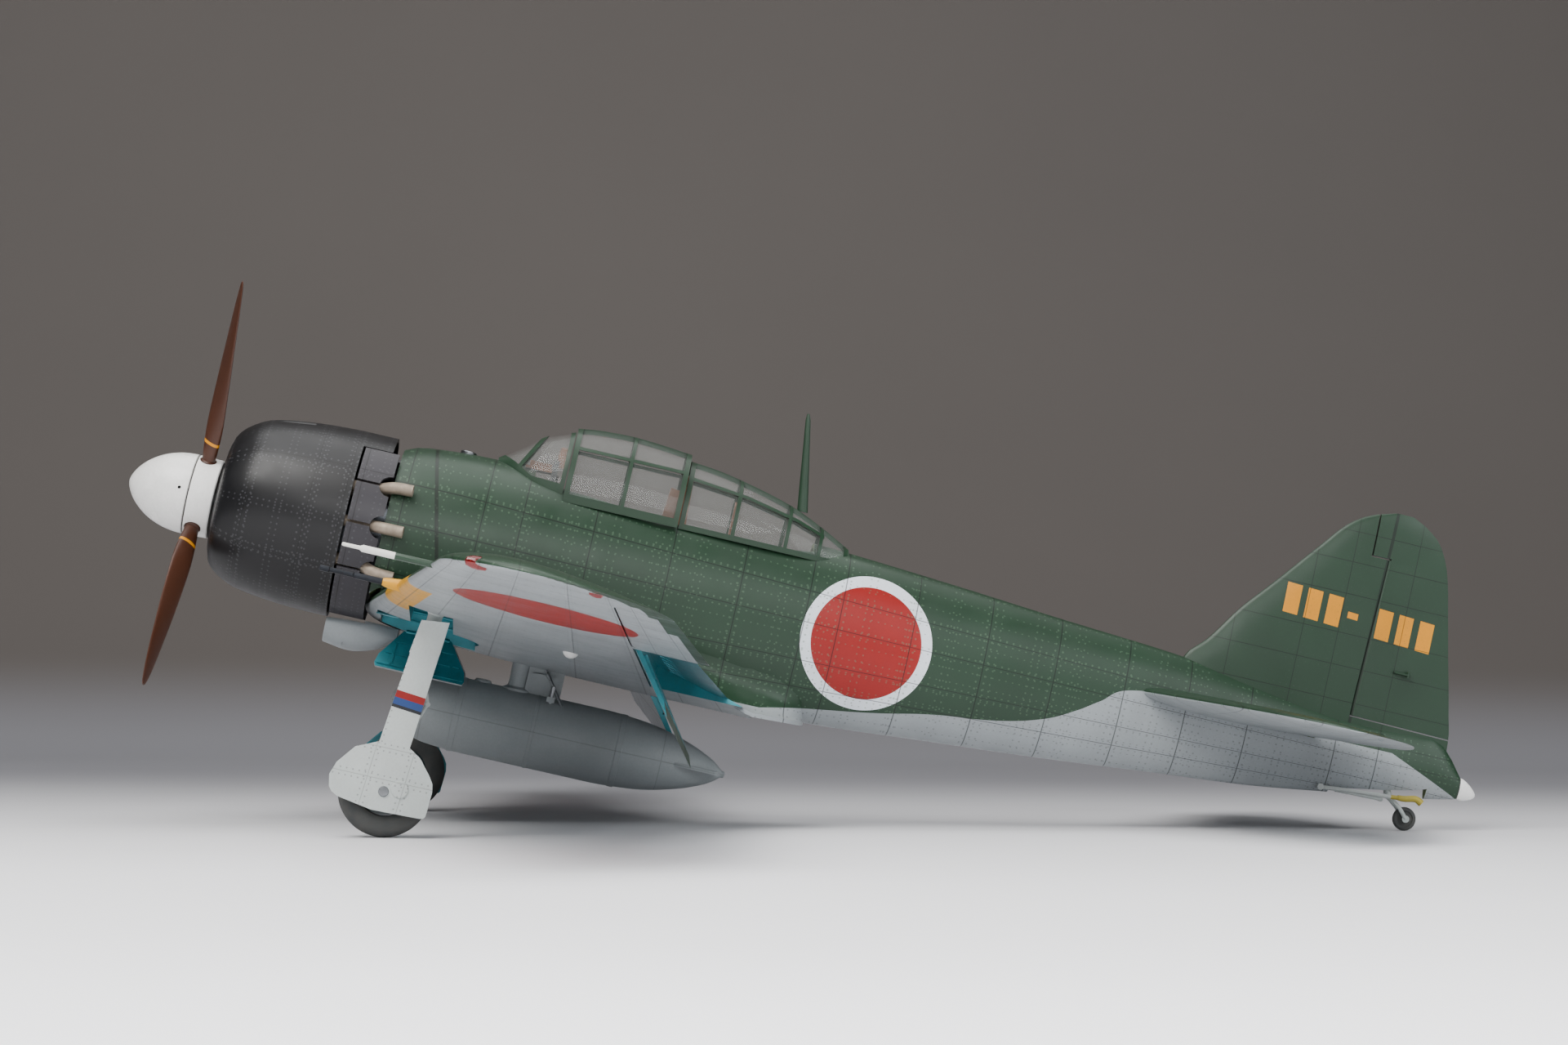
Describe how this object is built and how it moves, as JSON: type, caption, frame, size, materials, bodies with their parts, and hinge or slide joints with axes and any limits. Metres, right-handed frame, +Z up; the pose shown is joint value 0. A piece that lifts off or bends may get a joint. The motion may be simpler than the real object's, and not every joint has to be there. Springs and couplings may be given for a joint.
{
  "type": "radio control warbird model aircraft",
  "caption": "Low-wing radial-engined warbird model with folding gear, sliding hood, hinged controls, cowl flaps and belly tank.",
  "frame": {"origin": "centre of the bounding box on the floor that the three wheels stand on", "axes": "+X to the pilot's left along the span, nose towards -Y, +Z up from the floor"},
  "size_m": [0.458, 0.3732, 0.1448],
  "materials": {
    "green_skin": "satin dark green moulded plastic",
    "grey_skin": "satin light grey moulded plastic",
    "charcoal_cowl": "satin charcoal moulded plastic",
    "plum_flap": "satin blue-black moulded plastic",
    "ivory": "gloss ivory moulded plastic",
    "blade_brown": "satin brown enamel",
    "clear": "clear gloss",
    "steel": "turned",
    "cover_grey": "satin pale grey",
    "tyre": "matt rubber",
    "teal": "translucent teal lacquer",
    "tank_grey": "satin grey moulded plastic",
    "exhaust": "matt dry-brushed brown grey",
    "olive": "satin olive yellow",
    "cockpit_green": "matt interior green",
    "black": "matt black",
    "blue_wrap": "heat-shrunk film",
    "circuit": "circuit board"
  },
  "bodies": {
    "airframe": {"fuselage_left_half": "green_skin", "fuselage_right_half": "green_skin", "wing_lower_skin": "grey_skin", "wing_upper_skin_left": "green_skin", "wing_upper_skin_right": "green_skin", "tailplane": "green_skin", "fin": "green_skin", "tail_light": "ivory", "engine_cowling": "charcoal_cowl", "oil_cooler_scoop": "cover_grey", "radial_engine": "exhaust", "motor_can": "steel", "windscreen": "clear", "rear_canopy": "clear", "antenna_mast": "green_skin", "pitot_tube": "ivory", "cannon_left": "black", "cannon_right": "black", "cockpit_tub": "cockpit_green", "pilot_seat": "olive", "instrument_panel": "black", "drop_tank": "tank_grey", "tank_pylon": "tank_grey", "battery_pack": "blue_wrap", "speed_controller": "circuit", "receiver": "black", "tail_servos": "black"},
    "propeller": {"spinner": "ivory", "spinner_backplate": "ivory", "propeller": "blade_brown", "motor_shaft": "steel"},
    "hood": {"canopy_hood": "clear"},
    "aileron_left": {"aileron_left": "green_skin"},
    "aileron_right": {"aileron_right": "green_skin"},
    "flap_left": {"flap_left": "teal"},
    "flap_right": {"flap_right": "teal"},
    "elevators": {"elevator_left": "green_skin", "elevator_right": "green_skin"},
    "rudder": {"rudder": "green_skin"},
    "gear_left": {"gear_leg_left": "cover_grey", "gear_cover_left": "cover_grey"},
    "gear_right": {"gear_leg_right": "cover_grey", "gear_cover_right": "cover_grey"},
    "wheel_left": {"tyre_left": "tyre", "wheel_hub_left": "steel"},
    "wheel_right": {"tyre_right": "tyre", "wheel_hub_right": "steel"},
    "inner_door_left": {"inner_door_left": "teal"},
    "inner_door_right": {"inner_door_right": "teal"},
    "tail_strut": {"tail_strut": "cover_grey"},
    "tail_wheel": {"tail_wheel": "tyre"},
    "arrester_hook": {"arrester_hook": "olive"},
    "cowl_flap_1_left": {"cowl_flap_1_left": "plum_flap"},
    "cowl_flap_2_left": {"cowl_flap_2_left": "plum_flap"},
    "cowl_flap_3_left": {"cowl_flap_3_left": "plum_flap"},
    "cowl_flap_4_left": {"cowl_flap_4_left": "plum_flap"},
    "cowl_flap_1_right": {"cowl_flap_1_right": "plum_flap"},
    "cowl_flap_2_right": {"cowl_flap_2_right": "plum_flap"},
    "cowl_flap_3_right": {"cowl_flap_3_right": "plum_flap"},
    "cowl_flap_4_right": {"cowl_flap_4_right": "plum_flap"}
  },
  "joints": [
    {"name": "propeller_spin", "type": "hinge", "parent": "airframe", "child": "propeller", "pos_m": [0, -0.16704, 0.08838], "axis": [0, 0.977, -0.213], "continuous": true},
    {"name": "canopy_slide", "type": "slide", "parent": "airframe", "child": "hood", "axis": [0, 0.977, -0.213], "range_m": [0, 0.03]},
    {"name": "aileron_left_hinge", "type": "hinge", "parent": "airframe", "child": "aileron_left", "pos_m": [0.123, -0.0515, 0.0505], "axis": [-0.992, 0.0837, -0.0947], "range_deg": [-25, 20]},
    {"name": "aileron_right_hinge", "type": "hinge", "parent": "airframe", "child": "aileron_right", "pos_m": [-0.123, -0.0515, 0.0505], "axis": [-0.992, -0.0837, 0.0947], "range_deg": [-20, 25]},
    {"name": "flap_left_hinge", "type": "hinge", "parent": "airframe", "child": "flap_left", "pos_m": [0.028, -0.04409, 0.03863], "axis": [-0.9909, 0.0808, -0.1076], "range_deg": [-51, 6]},
    {"name": "flap_right_hinge", "type": "hinge", "parent": "airframe", "child": "flap_right", "pos_m": [-0.028, -0.04409, 0.03863], "axis": [-0.9909, -0.0808, 0.1076], "range_deg": [-51, 6]},
    {"name": "elevator_hinge", "type": "hinge", "parent": "airframe", "child": "elevators", "pos_m": [0, 0.13859, 0.02788], "axis": [-1, 0, 0], "range_deg": [-25, 20]},
    {"name": "rudder_hinge", "type": "hinge", "parent": "airframe", "child": "rudder", "pos_m": [0, 0.15184, 0.03185], "axis": [0, 0.2349, 0.972], "range_deg": [-28, 28]},
    {"name": "gear_left_fold", "type": "hinge", "parent": "airframe", "child": "gear_left", "pos_m": [0.073, -0.10036, 0.05951], "axis": [0, 0.977, -0.213], "range_deg": [0, 85.5]},
    {"name": "gear_right_fold", "type": "hinge", "parent": "airframe", "child": "gear_right", "pos_m": [-0.073, -0.10036, 0.05951], "axis": [0, -0.977, 0.213], "range_deg": [0, 85.5]},
    {"name": "wheel_left_spin", "type": "hinge", "parent": "gear_left", "child": "wheel_left", "pos_m": [0.073, -0.11342, 0.0118], "axis": [1, 0, 0], "continuous": true},
    {"name": "wheel_right_spin", "type": "hinge", "parent": "gear_right", "child": "wheel_right", "pos_m": [-0.073, -0.11342, 0.0118], "axis": [1, 0, 0], "continuous": true},
    {"name": "inner_door_left_hinge", "type": "hinge", "parent": "airframe", "child": "inner_door_left", "pos_m": [0.00605, -0.1049, 0.05086], "axis": [0, -0.977, 0.213], "range_deg": [0, 62]},
    {"name": "inner_door_right_hinge", "type": "hinge", "parent": "airframe", "child": "inner_door_right", "pos_m": [-0.00605, -0.1049, 0.05086], "axis": [0, 0.977, -0.213], "range_deg": [0, 62]},
    {"name": "tail_wheel_steer", "type": "hinge", "parent": "airframe", "child": "tail_strut", "pos_m": [0, 0.16158, 0.01174], "axis": [0, 0.2349, 0.972], "range_deg": [-28, 28]},
    {"name": "tail_wheel_spin", "type": "hinge", "parent": "tail_strut", "child": "tail_wheel", "pos_m": [0, 0.16649, 0.0033], "axis": [1, 0, 0], "continuous": true},
    {"name": "hook_hinge", "type": "hinge", "parent": "airframe", "child": "arrester_hook", "pos_m": [0.0039, 0.14183, 0.01223], "axis": [-1, 0, 0], "range_deg": [0, 50]},
    {"name": "cowl_flap_1_left_hinge", "type": "hinge", "parent": "airframe", "child": "cowl_flap_1_left", "pos_m": [0.01913, -0.12288, 0.09751], "axis": [0.6561, -0.1608, -0.7374], "range_deg": [0, 22]},
    {"name": "cowl_flap_1_right_hinge", "type": "hinge", "parent": "airframe", "child": "cowl_flap_1_right", "pos_m": [-0.01913, -0.12288, 0.09751], "axis": [0.6561, 0.1608, 0.7374], "range_deg": [0, 22]},
    {"name": "cowl_flap_2_left_hinge", "type": "hinge", "parent": "airframe", "child": "cowl_flap_2_left", "pos_m": [0.0246, -0.12512, 0.08726], "axis": [0.2419, -0.2067, -0.948], "range_deg": [0, 22]},
    {"name": "cowl_flap_2_right_hinge", "type": "hinge", "parent": "airframe", "child": "cowl_flap_2_right", "pos_m": [-0.0246, -0.12512, 0.08726], "axis": [0.2419, 0.2067, 0.948], "range_deg": [0, 22]},
    {"name": "cowl_flap_3_left_hinge", "type": "hinge", "parent": "airframe", "child": "cowl_flap_3_left", "pos_m": [0.0247, -0.12764, 0.07569], "axis": [-0.225, -0.2076, -0.952], "range_deg": [0, 22]},
    {"name": "cowl_flap_3_right_hinge", "type": "hinge", "parent": "airframe", "child": "cowl_flap_3_right", "pos_m": [-0.0247, -0.12764, 0.07569], "axis": [-0.225, 0.2076, 0.952], "range_deg": [0, 22]},
    {"name": "cowl_flap_4_left_hinge", "type": "hinge", "parent": "airframe", "child": "cowl_flap_4_left", "pos_m": [0.0163, -0.13056, 0.06229], "axis": [-0.766, -0.1369, -0.628], "range_deg": [0, 22]},
    {"name": "cowl_flap_4_right_hinge", "type": "hinge", "parent": "airframe", "child": "cowl_flap_4_right", "pos_m": [-0.0163, -0.13056, 0.06229], "axis": [-0.766, 0.1369, 0.628], "range_deg": [0, 22]}
  ],
  "couplings": [
    {"joint": "aileron_right_hinge", "follows": "aileron_left_hinge", "ratio": -1},
    {"joint": "flap_right_hinge", "follows": "flap_left_hinge", "ratio": 1},
    {"joint": "gear_right_fold", "follows": "gear_left_fold", "ratio": 1},
    {"joint": "inner_door_right_hinge", "follows": "inner_door_left_hinge", "ratio": 1},
    {"joint": "tail_wheel_steer", "follows": "rudder_hinge", "ratio": 1},
    {"joint": "cowl_flap_1_right_hinge", "follows": "cowl_flap_1_left_hinge", "ratio": 1},
    {"joint": "cowl_flap_2_left_hinge", "follows": "cowl_flap_1_left_hinge", "ratio": 1},
    {"joint": "cowl_flap_2_right_hinge", "follows": "cowl_flap_1_left_hinge", "ratio": 1},
    {"joint": "cowl_flap_3_left_hinge", "follows": "cowl_flap_1_left_hinge", "ratio": 1},
    {"joint": "cowl_flap_3_right_hinge", "follows": "cowl_flap_1_left_hinge", "ratio": 1},
    {"joint": "cowl_flap_4_left_hinge", "follows": "cowl_flap_1_left_hinge", "ratio": 1},
    {"joint": "cowl_flap_4_right_hinge", "follows": "cowl_flap_1_left_hinge", "ratio": 1}
  ]
}
